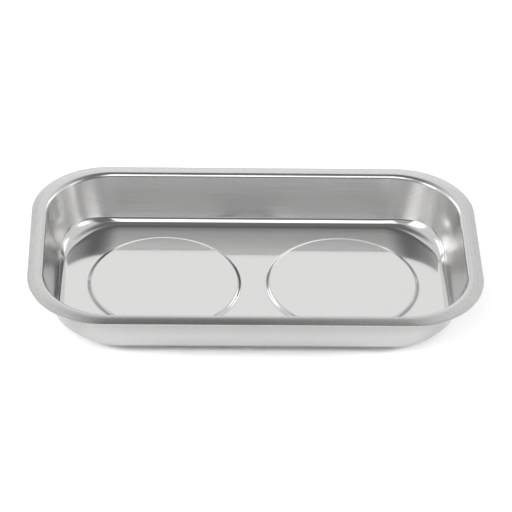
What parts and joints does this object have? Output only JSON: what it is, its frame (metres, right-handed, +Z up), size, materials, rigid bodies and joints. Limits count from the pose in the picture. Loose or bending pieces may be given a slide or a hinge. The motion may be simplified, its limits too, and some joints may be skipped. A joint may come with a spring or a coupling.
{
  "type": "magnetic parts tray",
  "caption": "Rectangular pressed-steel tray with rounded corners and a flanged rim, standing on rubber-covered ring magnets that hold screws and small steel parts.",
  "frame": {"origin": "on the surface that the tray stands on, under the middle of the tray", "axes": "+X along the tray, +Y across it to the back of the picture, +Z up out of the open top"},
  "size_m": [0.24, 0.14, 0.0321],
  "materials": {
    "pan_steel": "satin",
    "zinc_steel": "satin",
    "plate_steel": "satin",
    "ferrite": "matte",
    "rubber": "matte"
  },
  "bodies": {
    "root": {"tray_pan": "pan_steel", "left_weld_stud": "zinc_steel", "right_weld_stud": "zinc_steel", "left_backing_plate": "plate_steel", "right_backing_plate": "plate_steel", "left_ring_magnet": "ferrite", "right_ring_magnet": "ferrite", "left_rubber_cover": "rubber", "right_rubber_cover": "rubber", "left_washer": "zinc_steel", "right_washer": "zinc_steel", "left_nut": "zinc_steel", "right_nut": "zinc_steel"}
  },
  "joints": []
}
